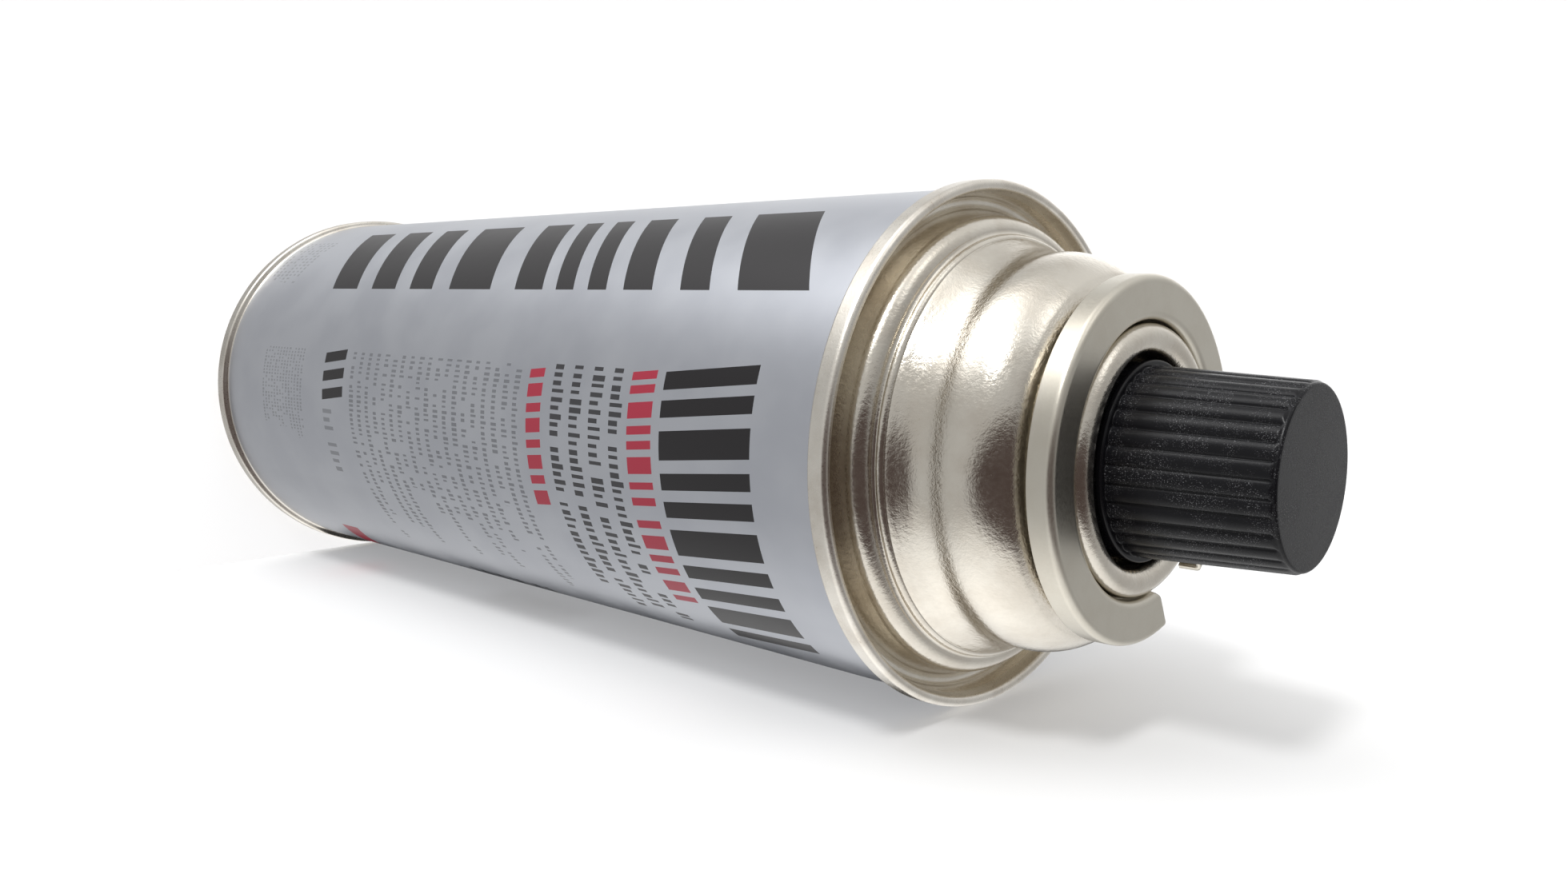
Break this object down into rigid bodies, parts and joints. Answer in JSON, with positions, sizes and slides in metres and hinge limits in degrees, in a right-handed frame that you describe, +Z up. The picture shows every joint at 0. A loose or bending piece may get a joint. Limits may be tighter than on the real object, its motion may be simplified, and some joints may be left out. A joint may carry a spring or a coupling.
{
  "type": "gas fuel canister",
  "caption": "Upright cylindrical fuel canister with rolled seams, a stepped dome, a notched locating collar, a spring-loaded nozzle valve and a ribbed pull-off cap.",
  "frame": {"origin": "centre of the ring that the canister stands on", "axes": "+Z up along the can's axis towards the cap, +Y towards the notch in the collar"},
  "size_m": [0.0684, 0.0684, 0.201],
  "materials": {
    "can_body": "satin silver-grey lacquer on tinplate, with bare champagne-coloured seams and dome",
    "collar_steel": "satin champagne-coloured tinplate",
    "tinplate": "satin tinplate",
    "gasket": "matt black",
    "acetal": "matt off-white",
    "spring_steel": "drawn wire",
    "cap_plastic": "fine-grained black"
  },
  "bodies": {
    "can_assembly": {"can": "can_body", "collar": "collar_steel", "valve_cup": "tinplate", "cup_gasket": "gasket", "stem_gasket": "gasket", "valve_housing": "acetal", "valve_spring": "spring_steel"},
    "stem": {"valve_stem": "acetal"},
    "cap": {"cap": "cap_plastic"}
  },
  "joints": [
    {"name": "stem_press", "type": "slide", "parent": "can_assembly", "child": "stem", "axis": [0, 0, -1], "range_m": [0, 0.0022], "stiffness_N_per_m": 2500, "deforming": ["valve_spring"]},
    {"name": "cap_pull", "type": "slide", "parent": "can_assembly", "child": "cap", "axis": [0, 0, 1], "range_m": [0, 0.03]}
  ]
}
